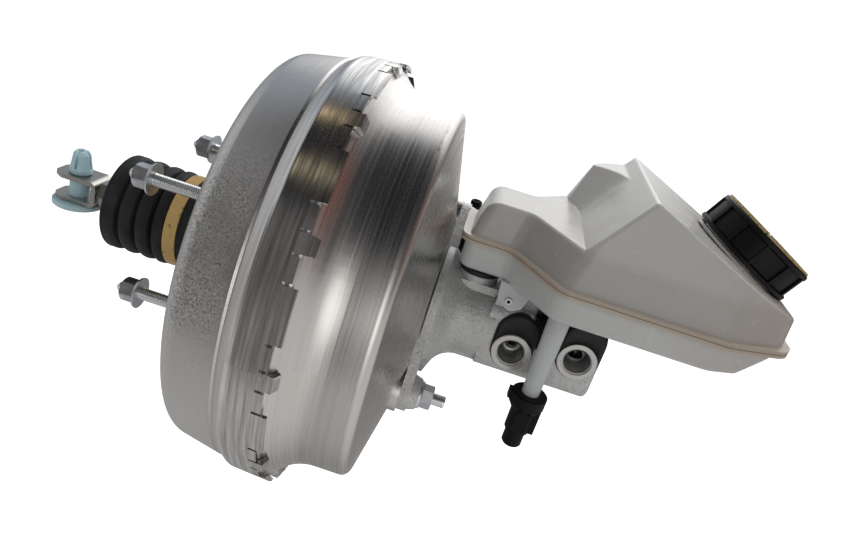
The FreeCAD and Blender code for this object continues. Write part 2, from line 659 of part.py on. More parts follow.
def upper_solid(grow):
    """Upper half of the reservoir without its flange, with sharp edges."""
    walls = Part.makeLoft([
        plan(seam_z, grow, narrow_half, wide_half, rear_wall, reservoir_front - 2),
        plan(crest_z + 6.0, grow, narrow_half - 9.0, wide_half - 6.0, rear_wall + 14.0, reservoir_front - 4)], True)
    side = [
        (rear_wall + 1.0 - grow * 1.1, seam_z), (reservoir_front + 12, seam_z),
        (reservoir_front + 12, front_low + grow * 1.09), (crest_x - grow * 0.3, crest_z + grow * 1.19),
        (foot_x - grow * 0.5, shelf_z + grow), (rear_wall + 7 - grow, shelf_z + grow, 9.0 + grow)]
    shoulder = side_prism([
        (foot_x - 9.0, shelf_z - 4.0), (crest_x - 24.0, shelf_z + 24.0 + grow),
        (crest_x + 6.0, shelf_z + 31.0 + grow), (crest_x + 6.0, shelf_z - 4.0)], scoop_y, 90)
    axis = V(math.sin(lean_back), 0, math.cos(lean_back))
    centre = V(foot_x, scoop_y, shelf_z) - V(math.cos(lean_back), 0, -math.sin(lean_back)) * scoop_r
    scoop = Part.makeCylinder(scoop_r - grow, 140, centre - axis * 50, axis)
    return walls.common(side_prism(side, -90, 90).fuse(shoulder.cut(scoop)))


def top_edges(solid):
    """Edges above the seam that the mould rounds: not the valley, nor the line where the scoop begins."""
    chosen = []
    for edge in solid.Edges:
        box = edge.BoundBox
        scoop_line = box.YLength < 0.01 and abs(box.YMin - scoop_y) < 0.01
        valley = box.ZMax < shelf_z + 0.5 and box.XMin > foot_x - 12.0
        if box.ZMin > seam_z + 3 and not scoop_line and not valley:
            chosen.append(edge)
    return chosen


def lower_solid(grow):
    """Lower half of the reservoir without its flange, with sharp edges."""
    low = plan(floor_z - 4, grow, narrow_half - 2.2, wide_half - 3.2, rear_wall, reservoir_front - 6)
    high = plan(seam_z, grow, narrow_half, wide_half, rear_wall, reservoir_front - 3)
    side = [
        (rear_wall - 20, seam_z), (rear_wall - 20, floor_z - grow),
        (reservoir_front - 23, floor_z - grow), (reservoir_front - 9 + grow, floor_z + 13),
        (reservoir_front + 5 + grow, seam_z)]
    return Part.makeLoft([low, high], True).common(side_prism(side, -90, 90))


def flange_plate(z0, z1, grow):
    ring = plan(z0, grow, narrow_half, wide_half, rear_wall, reservoir_front - 2)
    return Part.Face(ring).extrude(V(0, 0, z1 - z0))


# Filler neck axis
tilt = math.radians(cap_tilt)
cap_axis = V(math.sin(tilt), 0, math.cos(tilt))
cap_base = V(reservoir_front - 30.7, 0, crest_z - 27.3)
neck_out = cap_r - 6.0
neck_top = cap_height - 6.3

shell = upper_solid(0.0)
shell = shell.makeFillet(mould_r, top_edges(shell))
upper = shell.fuse(flange_plate(seam_z + 0.03, seam_z + 2.1, 3.2))
neck = turned([
    (-6.0, 0), (-6.0, neck_out), (-3.0, neck_out), (-3.0, cap_r - 2.0), (-1.4, cap_r - 2.0),
    (-1.4, neck_out), (neck_top, neck_out), (neck_top, 0)], cap_base, cap_axis)
cavity = upper_solid(-wall)
cavity = cavity.cut(block(rear_wall - 20, reservoir_front + 20, -99, 99, seam_z - 5, seam_z))
mouth = turned([(-30.0, 0), (-30.0, neck_out - 4.0), (neck_top + 1, neck_out - 4.0), (neck_top + 1, 0)],
               cap_base, cap_axis)
under = block(rear_wall - 20, reservoir_front + 20, -99, 99, seam_z - 20, seam_z + 0.03)
hidden = mouth.common(upper_solid(-0.6).fuse(turned(
    [(-8, 0), (-8, neck_out - 4.0), (neck_top + 1, neck_out - 4.0), (neck_top + 1, 0)], cap_base, cap_axis)))
upper = upper.fuse(neck).cut([cavity, hidden, under])
save("reservoir_upper", upper)

probe_x = nose_x + 74.3
probe_y = -38.0
stem_r = 5.4
tube_end = floor_z - 58.0
lower = lower_solid(0.0)
lower = lower.makeFillet(floor_r, [edge for edge in lower.Edges if edge.BoundBox.ZMax < seam_z - 1.0])
lower = lower.fuse(flange_plate(seam_z - 2.1, seam_z - 0.03, 3.2))
floor_cavity = lower_solid(-wall)
above = block(rear_wall - 20, reservoir_front + 20, -99, 99, seam_z - 0.03, seam_z + 30)
lower = lower.cut([floor_cavity, above])
lower_bits = [turned([
    (tube_end, 0), (tube_end, stem_r), (floor_z + 2, probe_r + 0.3), (floor_z + 2.6, stem_r),
    (floor_z + 35.0, stem_r), (floor_z + 37.0, stem_r - 1.5), (floor_z + 37.0, 0)],
    V(probe_x, probe_y, 0), up)]
for x in spigots:
    lower_bits.append(post(spigot_out, top_z - 7.0, floor_z + 1, x, 0))
ear = [
    (hook_x - 8.0, floor_z + 1), (hook_x - 7.0, hook_z, 5.0), (hook_x + 1.5, hook_z - 7.0, 5.0),
    (hook_x + 8.5, hook_z - 3.0, 3.0), (hook_x + 12.5, floor_z + 1)]
for y in (-24.6, 21.0):
    lower_bits.append(side_prism(ear, y, y + 3.6))
lower = lower.fuse(lower_bits)
lower_cuts = [post(4.2, tube_end - 1, floor_z + 34.0, probe_x, probe_y)]
for x in spigots:
    lower_cuts.append(post(spigot_out - 2.0, top_z - 8.0, floor_z + 5, x, 0))
lower_cuts.append(Part.makeCylinder(hook_pin_r + press_gap, 80, V(hook_x, -40, hook_z), V(0, 1, 0)))
save("reservoir_lower", lower.cut(lower_cuts))

# Level sensing: float, probe stem and plug housing
save("level_float", turned([
    (floor_z + 4.0, stem_r + air_gap), (floor_z + 4.0, 11.8, 1.0), (floor_z + 17.0, 11.8, 1.0),
    (floor_z + 17.0, stem_r + air_gap)], V(probe_x, probe_y, 0), up))
save("level_probe", post(3.9, tube_end + 0.2, floor_z + 33.0, probe_x, probe_y))
plug = turned([
    (tube_end - 36.0, 0), (tube_end - 36.0, 5.4), (tube_end - 35.0, 6.2), (tube_end - 25.6, 6.2),
    (tube_end - 25.0, 7.6), (tube_end - 9.5, 7.8), (tube_end - 9.0, 9.0), (tube_end - 7.0, 9.6),
    (tube_end - 6.0, 11.0), (tube_end + 1.2, 11.0), (tube_end + 2.0, 10.2), (tube_end + 2.0, stem_r + 0.1),
    (tube_end - 0.2, stem_r + 0.1), (tube_end - 0.2, 0)], V(probe_x, probe_y, 0), up)
plug_bits = [
    block(probe_x - 12.6, probe_x - 8, probe_y - 3, probe_y + 3, tube_end - 4.5, tube_end + 1.2),
    block(probe_x + 6, probe_x + 10.0, probe_y - 4, probe_y + 4, tube_end - 24, tube_end - 7),
    block(probe_x - 4, probe_x + 4, probe_y - 9.4, probe_y - 5, tube_end - 22, tube_end - 8)]
plug = plug.fuse(plug_bits).cut(post(4.6, tube_end - 37, tube_end - 27, probe_x, probe_y))
save("level_connector", plug)

# Cap, its raised ring, its seal and the strainer
cap = turned([
    (neck_top + 2.75, 0), (neck_top + 2.75, neck_out + 0.5), (0, neck_out + 0.5), (0, cap_r - 0.4),
    (0.5, cap_r), (2.2, cap_r), (3.2, cap_r - 2.0), (cap_height - 3.6, cap_r - 2.0),
    (cap_height - 2.6, cap_r - 0.9), (cap_height - 0.8, cap_r - 1.1), (cap_height, cap_r - 2.0),
    (cap_height, cap_r - 7.6), (cap_height - 1.3, cap_r - 8.2), (cap_height - 1.3, 0)],
    cap_base, cap_axis)
place = FreeCAD.Placement(cap_base, FreeCAD.Rotation(V(1, 0, 0), cap_axis))
ribs = []
for k in range(12):
    rib = block(2.0, cap_height - 2.8, -0.9, 0.9, cap_r - 2.6, cap_r - 0.7)
    rib.rotate(V(0, 0, 0), V(1, 0, 0), 30 * k + 15)
    rib.Placement = place.multiply(rib.Placement)
    ribs.append(rib)
save("reservoir_cap", cap.fuse(ribs))
blocks = []
for k in range(28):
    a = 360.0 / 28 * k
    piece = sector(box_ring(cap_height + press_gap, cap_height + 1.1, cap_r - 7.0, cap_r - 2.4), a, a + 11.2)
    piece.Placement = place.multiply(piece.Placement)
    blocks.append(piece)
save("cap_ring", blocks)
save("cap_seal", turned(box_ring(neck_top + 1.15, neck_top + 2.7, neck_out - 4.4, neck_out + 0.1),
                        cap_base, cap_axis))
basket = [
    (-18.0, 0), (-18.0, neck_out - 5.2, 3.0), (neck_top + 0.05, neck_out - 5.2), (neck_top + 0.05, neck_out - 0.6)]
save("filler_strainer", turned(sheet_section(basket, 1.0), cap_base, cap_axis))

# Vacuum check valve in its grommet
at = V(0, valve_y, valve_z)
save("check_valve_grommet", turned([
    (nose_x - 6.0, 6.0 + press_gap), (nose_x - 6.0, 9.2), (nose_x - 5.0, 10.0), (nose_x + press_gap, 10.0),
    (nose_x + press_gap, 13.0), (nose_x + 2.4, 12.4), (nose_x + 2.4, 6.0 + press_gap)], at))
chamber_x = nose_x + 5.0
valve = turned([
    (nose_x - 11.0, 0), (nose_x - 11.0, 5.2), (nose_x - 10.2, 6.0), (nose_x + 2.5, 6.0), (nose_x + 2.5, 11.5),
    (nose_x + 3.3, 12.3), (nose_x + 11.0, 12.3), (nose_x + 14.0, 9.0, 1.0), (nose_x + 14.0, 0)], at)
nipple = turned([
    (0, 0), (0, 5.4), (16.0, 5.4), (16.5, 4.4), (24.5, 4.4), (25.0, 5.0), (28.0, 4.0), (32.0, 4.0), (32.6, 3.4),
    (32.6, 0)], V(nose_x + 8.3, valve_y, valve_z), up)
valve = valve.fuse(nipple)
valve = valve.cut([
    rod(4.0, nose_x - 12, chamber_x, valve_y, valve_z), rod(8.0, chamber_x, nose_x + 12.0, valve_y, valve_z),
    post(2.7, valve_z, valve_z + 40, nose_x + 8.3, valve_y)])
save("check_valve_body", valve)
save("check_valve_disc", rod(7.5, chamber_x + press_gap, chamber_x + 1.5, valve_y, valve_z))
little = coil(5.2, 0.5, chamber_x + 1.6, nose_x + 11.9, 4)
little.translate(at)
save("check_valve_spring", little)
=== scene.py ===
import json
import math

import bpy
import numpy as np
from mathutils import Matrix, Vector


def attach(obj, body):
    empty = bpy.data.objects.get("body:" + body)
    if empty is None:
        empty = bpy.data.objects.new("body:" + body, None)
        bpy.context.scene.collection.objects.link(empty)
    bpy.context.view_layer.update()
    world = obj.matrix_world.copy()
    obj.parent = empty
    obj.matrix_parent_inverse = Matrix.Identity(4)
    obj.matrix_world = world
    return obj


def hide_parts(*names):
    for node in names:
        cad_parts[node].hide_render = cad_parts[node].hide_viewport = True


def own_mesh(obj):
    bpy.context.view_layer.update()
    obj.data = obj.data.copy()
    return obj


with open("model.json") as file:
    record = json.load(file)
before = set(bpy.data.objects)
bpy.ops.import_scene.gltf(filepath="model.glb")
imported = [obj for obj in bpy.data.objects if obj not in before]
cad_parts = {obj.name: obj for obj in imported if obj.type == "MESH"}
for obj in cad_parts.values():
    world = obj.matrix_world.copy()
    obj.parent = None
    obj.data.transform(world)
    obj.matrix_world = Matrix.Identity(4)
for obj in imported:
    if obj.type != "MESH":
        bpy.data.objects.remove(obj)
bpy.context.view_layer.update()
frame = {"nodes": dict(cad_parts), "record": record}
nodes = frame["nodes"]
scene = bpy.context.scene


# Shader building

class Paint:
    """A material whose nodes are laid out by short calls."""

    def __init__(self, name, **values):
        self.material = bpy.data.materials.new(name)
        self.material.use_nodes = True
        self.tree = self.material.node_tree
        self.tree.nodes.clear()
        self.out = self.node("ShaderNodeOutputMaterial")
        self.shader = self.node("ShaderNodeBsdfPrincipled")
        self.tree.links.new(self.shader.outputs[0], self.out.inputs["Surface"])
        for key, value in values.items():
            self.set(key.replace("_", " "), value)

    def node(self, kind, **props):
        made = self.tree.nodes.new(kind)
        for key, value in props.items():
            setattr(made, key, value)
        return made

    def put(self, socket, value):
        """Links a socket, or sets its number or colour."""
        if isinstance(value, bpy.types.NodeSocket):
            self.tree.links.new(value, socket)
        elif hasattr(socket.default_value, "__len__") and isinstance(value, (tuple, list)):
            size = len(socket.default_value)
            socket.default_value = (tuple(value) + (1.0,))[:size]
        else:
            socket.default_value = value

    def set(self, name, value):
        for socket in self.shader.inputs:
            if socket.name.lower() == name.lower():
                self.put(socket, value)
                return
        raise KeyError(name)

    def coords(self):
        return self.node("ShaderNodeTexCoord").outputs["Object"]

    def math(self, operation, a, b=0.0, c=0.0):
        made = self.node("ShaderNodeMath", operation=operation)
        for socket, value in zip(made.inputs, (a, b, c)):
            self.put(socket, value)
        return made.outputs[0]

    def vector(self, x, y, z):
        made = self.node("ShaderNodeCombineXYZ")
        for socket, value in zip(made.inputs, (x, y, z)):
            self.put(socket, value)
        return made.outputs[0]

    def split(self):
        made = self.node("ShaderNodeSeparateXYZ")
        self.put(made.inputs[0], self.coords())
        return made.outputs

    def noise(self, scale, detail=3.0, rough=0.5, vector=None):
        made = self.node("ShaderNodeTexNoise")
        self.put(made.inputs["Vector"], vector or self.coords())
        self.put(made.inputs["Scale"], scale)
        self.put(made.inputs["Detail"], detail)
        self.put(made.inputs["Roughness"], rough)
        return made.outputs[0]

    def cells(self, scale):
        """Distance from the middle of the nearest cell."""
        made = self.node("ShaderNodeTexVoronoi")
        self.put(made.inputs["Vector"], self.coords())
        self.put(made.inputs["Scale"], scale)
        return made.outputs[0]

    def span(self, value, low, high, to_low=0.0, to_high=1.0):
        """Maps low..high to to_low..to_high, held at the ends."""
        made = self.node("ShaderNodeMapRange", clamp=True)
        for socket, number in zip(made.inputs, (value, low, high, to_low, to_high)):
            self.put(socket, number)
        return made.outputs[0]

    def mix(self, fac, a, b):
        made = self.node("ShaderNodeMix", data_type="RGBA")
        self.put(made.inputs[0], fac)
        self.put(made.inputs[6], a)
        self.put(made.inputs[7], b)
        return made.outputs[2]

    def bump(self, height, strength, distance):
        made = self.node("ShaderNodeBump")
        self.put(made.inputs["Strength"], strength)
        self.put(made.inputs["Distance"], distance)
        self.put(made.inputs["Height"], height)
        self.set("Normal", made.outputs[0])

    def product(self, *factors):
        made = factors[0]
        for factor in factors[1:]:
            made = self.math("MULTIPLY", made, factor)
        return made

    def turned_tangent(self):
        """Highlights run round the long axis, as on a spun sheet."""
        self.set("Tangent", self.node("ShaderNodeTangent", direction_type="RADIAL", axis="X").outputs[0])

    def polar(self):
        """Object coordinates as x, radius from the long axis and angle round it."""
        x, y, z = self.split()
        r = self.math("SQRT", self.math("ADD", self.math("MULTIPLY", y, y), self.math("MULTIPLY", z, z)))
        return x, r, self.math("ARCTAN2", z, y)

    def edges(self, low, high):
        """Bright where the surface turns sharply outwards: painted highlights on the edges, together with worn
        edges.
        """
        return self.span(self.node("ShaderNodeNewGeometry").outputs["Pointiness"], low, high)


def turned_lines(paint, scale, swirl):
    """Lines that run round the long axis, as turning or polishing leaves them: noise that changes fast along
    the axis and slowly round it."""
    x, r, angle = paint.polar()
    line = paint.vector(paint.math("MULTIPLY", x, scale), paint.math("MULTIPLY", r, scale),
                        paint.math("MULTIPLY", angle, swirl))
    return paint.noise(1.0, 4.0, 0.65, line)


# Middle and half width of the grained zone, as angles from +Y towards +Z, and its fade along the axis
grain_middle = math.radians(160.0)
grain_half = math.radians(24.0)
grain_start = (0.0065, 0.012)
grain_end = (0.043, 0.034)
# The polished rim band starts here
rim_band_start = (0.0425, 0.0470)


def rear_alloy():
    """Spun aluminium with fine turned lines, a polished rim band whose colour carries streaks of painted
    reflection, and a coarse grained zone.
    """
    p = Paint("rear_alloy", Metallic=1.0, Anisotropic=0.45)
    x, r, angle = p.polar()
    lines = turned_lines(p, 900.0, 0.35)
    band = p.span(x, *rim_band_start)
    grain = p.noise(160.0, 5.0, 0.62)
    cloud = p.noise(9.0, 3.0, 0.55)
    tone = p.mix(cloud, (0.50, 0.49, 0.475), (0.62, 0.605, 0.59))
    tone = p.mix(p.span(lines, 0.35, 0.7), tone, (0.58, 0.57, 0.56))
    # Streaks in the rim band's colour are painted reflections; the lower roughness along them is the band's
    # polish
    along = p.vector(p.math("MULTIPLY", x, 150.0), 0.0, p.math("MULTIPLY", angle, 0.7))
    polish_and_reflection_streaks = p.noise(3.0, 3.0, 0.6, along)
    band_painted_reflection = p.mix(p.span(polish_and_reflection_streaks, 0.34, 0.66), (0.34, 0.335, 0.33), (0.80, 0.79, 0.78))
    tone = p.mix(band, tone, band_painted_reflection)
    # Coarse glittering grain on the upper side towards the camera
    turn = p.math("WRAP", p.math("SUBTRACT", angle, grain_middle), math.pi, -math.pi)
    side = p.span(p.math("ABSOLUTE", turn), grain_half * 0.55, grain_half * 1.35, 1.0, 0.0)
    patches = p.span(p.noise(26.0, 4.0, 0.65), 0.36, 0.56)
    zone = p.product(side, p.span(x, *grain_end), p.span(x, *grain_start), patches)
    spots = p.span(p.noise(820.0, 2.0, 0.8), 0.50, 0.58)
    glints = p.span(p.noise(980.0, 2.0, 0.8), 0.50, 0.58)
    pits = p.math("MULTIPLY", zone, spots)
    tone = p.mix(p.math("MULTIPLY", pits, 0.62), tone, (0.10, 0.098, 0.096))
    tone = p.mix(p.product(zone, glints, 0.7), tone, (0.86, 0.86, 0.85))
    p.set("Base Color", tone)
    rough = p.span(lines, 0.3, 0.75, 0.22, 0.34)
    rough = p.math("ADD", rough, p.math("MULTIPLY", grain, 0.06))
    rough = p.math("ADD", rough, p.math("MULTIPLY", zone, 0.18))
    rough = p.math("SUBTRACT", rough, p.math("MULTIPLY", band, p.span(polish_and_reflection_streaks, 0.3, 0.7, 0.04, 0.15)))
    p.set("Roughness", rough)
    p.turned_tangent()
    height = p.math("ADD", p.math("MULTIPLY", lines, 0.5), p.math("MULTIPLY", pits, -1.2))
    p.bump(height, 0.25, 0.00012)
    return p.material


def front_alloy():
    """Drawn aluminium with long turned lines and faint warm stripes."""
    p = Paint("front_alloy", Metallic=1.0, Anisotropic=0.65)
    x, r, angle = p.polar()
    lines = turned_lines(p, 700.0, 0.2)
    wide = turned_lines(p, 120.0, 0.3)
    tone = p.mix(p.span(lines, 0.3, 0.7), (0.55, 0.54, 0.525), (0.68, 0.665, 0.65))
    tone = p.mix(p.span(wide, 0.4, 0.7, 0.0, 0.35), tone, (0.56, 0.50, 0.47))
    p.set("Base Color", tone)
    p.set("Roughness", p.span(lines, 0.3, 0.75, 0.20, 0.36))
    p.turned_tangent()
    p.bump(lines, 0.3, 0.00012)
    return p.material


# Port axes of the casting as (x, z), ring and bore radii, and the plane of the ring faces
ports = ((0.1836, -0.005), (0.2228, 0.003))
ring_r = 0.0123
port_bore_r = 0.0096
ring_face_y = -0.0248
bore_start_y = -0.0040
port_pitch = 0.0012
# The black coat lies past this x, above this z and outside this y; the pairs are where it fades in
coat_x = (0.1900, 0.1915)
coat_y = (-0.0085, -0.0095)
coat_z = (0.0010, 0.0030)
coat_black = (0.008, 0.008, 0.008)


def cast_alloy():
    """Sand-cast alloy, machined at the port rings and coated black round the ports, with painted shade in the
    grooves of the bore threads.
    """
    p = Paint("casting", Metallic=0.75)
    x, y, z = p.split()
    sand = p.noise(750.0, 4.0, 0.72)
    lumps = p.noise(120.0, 4.0, 0.6)
    cloud = p.noise(34.0, 3.0, 0.6)
    tone = p.mix(cloud, (0.42, 0.42, 0.425), (0.74, 0.74, 0.73))
    tone = p.mix(p.span(sand, 0.52, 0.72), tone, (0.66, 0.66, 0.65))
    tone = p.mix(p.span(sand, 0.46, 0.30), tone, (0.28, 0.28, 0.282))
    away = []
    for port_x, port_z in ports:
        dx = p.math("SUBTRACT", x, port_x)
        dz = p.math("SUBTRACT", z, port_z)
        away.append(p.math("SQRT", p.math("ADD", p.math("MULTIPLY", dx, dx), p.math("MULTIPLY", dz, dz))))
    near = p.math("MINIMUM", *away)
    on_ring = p.math("LESS_THAN", near, ring_r + 0.0004)
    in_bore = p.math("MULTIPLY", p.math("LESS_THAN", near, port_bore_r), p.math("LESS_THAN", y, bore_start_y))
    # The coat ends in a ragged line against the bare casting
    ragged = p.math("MULTIPLY", p.math("SUBTRACT", lumps, 0.5), 0.006)
    machined = p.math("MULTIPLY", on_ring, p.math("LESS_THAN", y, ring_face_y))
    bright = p.math("MAXIMUM", machined, in_bore)
    bare = p.math("SUBTRACT", 1.0, bright)
    coat = p.product(p.span(p.math("ADD", x, ragged), *coat_x), p.span(y, *coat_y),
                     p.span(p.math("ADD", z, ragged), *coat_z), bare)
    tone = p.mix(coat, tone, p.mix(p.span(sand, 0.58, 0.66), coat_black, (0.05, 0.05, 0.05)))
    tone = p.mix(bright, tone, p.mix(lumps, (0.46, 0.45, 0.44), (0.62, 0.61, 0.60)))
    # Threads in the bores: their grooves are darkened as painted shade, and the same wave bumps the surface
    wave = p.math("SINE", p.math("MULTIPLY", y, 2 * math.pi / port_pitch))
    thread_painted_shade = p.math("MULTIPLY", in_bore, p.span(wave, -0.2, -0.8))
    tone = p.mix(thread_painted_shade, tone, (0.05, 0.05, 0.05))
    p.set("Base Color", tone)
    rough = p.math("ADD", 0.40, p.math("MULTIPLY", sand, 0.25))
    p.set("Roughness", p.math("SUBTRACT", rough, p.math("MULTIPLY", bright, 0.22)))
    height = p.math("ADD", p.product(sand, bare), p.product(lumps, bare, 2.5))
    height = p.math("ADD", height, p.product(wave, in_bore, 0.6))
    p.bump(height, 0.8, 0.0006)
    return p.material


def plated(name, low, high, rough, grain=300.0, tint=None):
    """Plated steel: mottled tone, paler on edges as painted highlight and wear; tint is a second hue that drifts
    in and out.
    """
    p = Paint(name, Metallic=1.0)
    tone = p.mix(p.noise(grain, 4.0, 0.6), low, high)
    if tint:
        tone = p.mix(p.span(p.noise(70.0, 2.0, 0.5), 0.45, 0.62), tone, tint)
    # Edges painted paler: partly painted highlight, partly wear
    tone = p.mix(p.edges(0.52, 0.6), tone, tuple(min(1.0, c * 1.2) for c in high))
    p.set("Base Color", tone)
    p.set("Roughness", p.math("ADD", rough, p.math("MULTIPLY", p.noise(grain * 2, 3.0, 0.6), 0.15)))
    p.bump(p.noise(grain * 3, 3.0, 0.6), 0.12, 0.0001)
    return p.material


def rubber(name, tone=(0.013, 0.013, 0.0145), rough=0.55):
    """Matt black rubber with a bloom in soft patches and a fine moulded grain."""
    p = Paint(name, Specular_IOR_Level=0.35)
    bloom = p.noise(60.0, 4.0, 0.6)
    p.set("Base Color", p.mix(p.span(bloom, 0.35, 0.7), tone, tuple(c * 2.4 for c in tone)))
    p.set("Roughness", p.math("ADD", rough, p.math("MULTIPLY", p.noise(400.0, 3.0, 0.6), 0.2)))
    p.bump(p.noise(1500.0, 3.0, 0.6), 0.15, 0.0002)
    return p.material


def moulded(name, low, high, rough, shine=0.4, specks=None):
    """Moulded plastic: drifting tone, edges painted paler as highlight and wear, fine grain; specks are small
    marks of a colour.
    """
    p = Paint(name, Specular_IOR_Level=shine)
    tone = p.mix(p.noise(45.0, 4.0, 0.6), low, high)
    if specks:
        tone = p.mix(p.math("MULTIPLY", p.span(p.noise(260.0, 3.0, 0.7), 0.60, 0.66), 0.7), tone, specks)
    # Paler edges: partly painted highlight, partly wear
    worn_and_highlit = tuple(min(1.0, c * 1.5 + 0.008) for c in high)
    tone = p.mix(p.math("MULTIPLY", p.edges(0.53, 0.62), 0.6), tone, worn_and_highlit)
    p.set("Base Color", tone)
    p.set("Roughness", p.math("ADD", rough, p.math("MULTIPLY", p.noise(300.0, 3.0, 0.6), 0.12)))
    p.bump(p.noise(1200.0, 3.0, 0.6), 0.12, 0.0003)
    return p.material


# Height of the weld line between the reservoir's halves, and half the height of its flange
seam_z = 0.0575
seam_half = 0.0022
seam_fade = 0.0004
# Heights and lengths between which the reservoir's tones change
slope_z = (0.078, 0.084)
warm_x = (0.25, 0.33)
cool_z = (0.056, 0.040)
cool_x = (0.24, 0.16)
tube_z = (0.030, 0.015)


def milky():
    """Cloudy see-through plastic that glows a little, tanned along its weld and pinkish at the front; its lower
    half is painted paler than the upper, as painted light from the floor below.
    """
    p = Paint("milky_plastic", Subsurface_Weight=0.12, Subsurface_Scale=0.003, IOR=1.46, Specular_IOR_Level=0.5)
    x, y, z = p.split()
    cloud = p.noise(18.0, 3.0, 0.55)
    # The lower half's paler tone is painted light, as if lit from the floor below
    upper = p.mix(cloud, (0.47, 0.455, 0.435), (0.57, 0.555, 0.53))
    lower = p.mix(cloud, (0.68, 0.68, 0.66), (0.80, 0.795, 0.775))
    tone = p.mix(p.span(z, seam_z - 0.001, seam_z + 0.001), lower, upper)
    tone = p.mix(p.span(z, *slope_z), tone, (0.60, 0.59, 0.57))
    tone = p.mix(p.product(p.span(x, *warm_x), 0.6), tone, (0.60, 0.49, 0.43))
    tone = p.mix(p.product(p.span(z, *cool_z), p.span(x, *cool_x), 0.6), tone, (0.56, 0.61, 0.61))
    tone = p.mix(p.product(p.span(z, *tube_z), 0.8), tone, (0.76, 0.80, 0.81))
    from_seam = p.math("ABSOLUTE", p.math("SUBTRACT", z, seam_z))
    seam = p.span(from_seam, seam_half + seam_fade, seam_half - seam_fade)
    tone = p.mix(p.product(seam, 0.7), tone, (0.58, 0.45, 0.33))
    tone = p.mix(p.product(p.span(from_seam, 0.0004, 0.0002), 0.8), tone, (0.20, 0.13, 0.08))
    p.set("Base Color", tone)
    p.set("Subsurface Radius", (1.0, 0.85, 0.7))
    p.set("Roughness", p.span(p.noise(120.0, 2.0, 0.5), 0.3, 0.7, 0.20, 0.28))
    p.bump(p.noise(22.0, 1.0, 0.3), 0.05, 0.0012)
    return p.material


def foam(name, low, high):
    """Open foam: pale ribs round dark holes."""
    p = Paint(name)
    holes = p.cells(900.0)
    p.set("Base Color", p.mix(holes, low, high))
    p.set("Roughness", 0.9)
    p.bump(holes, 0.8, 0.0006)
    return p.material


paints = {
    "rear_alloy": rear_alloy(),
    "front_alloy": front_alloy(),
    "casting": cast_alloy(),
    "zinc_steel": plated("zinc_steel", (0.62, 0.65, 0.66), (0.82, 0.84, 0.85), 0.17),
    "nut_steel": plated("nut_steel", (0.30, 0.31, 0.33), (0.60, 0.62, 0.65), 0.34, 260.0),
    "yellow_zinc": plated("yellow_zinc", (0.20, 0.20, 0.19), (0.34, 0.33, 0.31), 0.24, 200.0,
                          (0.30, 0.24, 0.27)),
    "spring_steel": plated("spring_steel", (0.25, 0.25, 0.26), (0.42, 0.42, 0.43), 0.3),
    "pin_plastic": moulded("pin_plastic", (0.48, 0.72, 0.80), (0.58, 0.82, 0.88), 0.30),
    "boot_rubber": rubber("boot_rubber"),
    "seal_rubber": rubber("seal_rubber", (0.012, 0.012, 0.012), 0.5),
    "band_plastic": moulded("band_plastic", (0.66, 0.42, 0.13), (0.82, 0.56, 0.22), 0.5,
                            specks=(0.16, 0.09, 0.03)),
    "hub_plastic": moulded("hub_plastic", (0.03, 0.03, 0.032), (0.06, 0.06, 0.062), 0.5),
    "black_plastic": moulded("black_plastic", (0.002, 0.002, 0.0025), (0.005, 0.005, 0.0055), 0.40,
                             shine=0.14),
    "milky_plastic": milky(),
    "cap_plastic": moulded("cap_plastic", (0.003, 0.003, 0.0035), (0.007, 0.007, 0.0075), 0.40, shine=0.18),
    "ochre_print": moulded("ochre_print", (0.28, 0.20, 0.06), (0.44, 0.34, 0.13), 0.5),
    "filter_foam": foam("filter_foam", (0.05, 0.05, 0.05), (0.16, 0.16, 0.16)),
    "white_plastic": moulded("white_plastic", (0.68, 0.68, 0.64), (0.80, 0.80, 0.76), 0.4),
    "float_plastic": moulded("float_plastic", (0.60, 0.52, 0.32), (0.76, 0.68, 0.46), 0.6),
}

for part in frame["record"]["subparts"]:
    thing = nodes[part["node"]]
    thing.data.materials.clear()
    thing.data.materials.append(paints[part["material_slot"]])
# The reservoir's hook pin is duller than the other plated steel
nodes["reservoir_pin"].data.materials[0] = paints["spring_steel"]


# Pieces turned about an axis along X

def piece(name, places, quads, node, slot_name, body, paint=None):
    """Mesh object from points and faces that rides on a body and, where a node is named, stands for it."""
    mesh = bpy.data.meshes.new(name)
    mesh.from_pydata(places.tolist(), [], quads)
    mesh.validate()
    for face in mesh.polygons:
        face.use_smooth = True
    mesh.materials.append(paint or paints[slot_name])
    made = bpy.data.objects.new(name, mesh)
    scene.collection.objects.link(made)
    if node:
        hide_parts(node)
    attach(made, body)
    return made


def skin(grid, ring=False):
    """Points and faces of a (rows, columns, 3) grid that is closed round its columns. A ring joins its last row
    to its first; any other grid is capped at both ends."""
    rows, columns = grid.shape[:2]
    index = np.arange(rows * columns).reshape(rows, columns)
    if ring:
        index = np.concatenate([index, index[:1]])
    after = np.roll(index, -1, axis=1)
    quads = np.stack([index[:-1], after[:-1], after[1:], index[1:]], axis=-1).reshape(-1, 4).tolist()
    if not ring:
        quads.append(index[0][::-1].tolist())
        quads.append(index[-1].tolist())
    return grid.reshape(-1, 3), quads


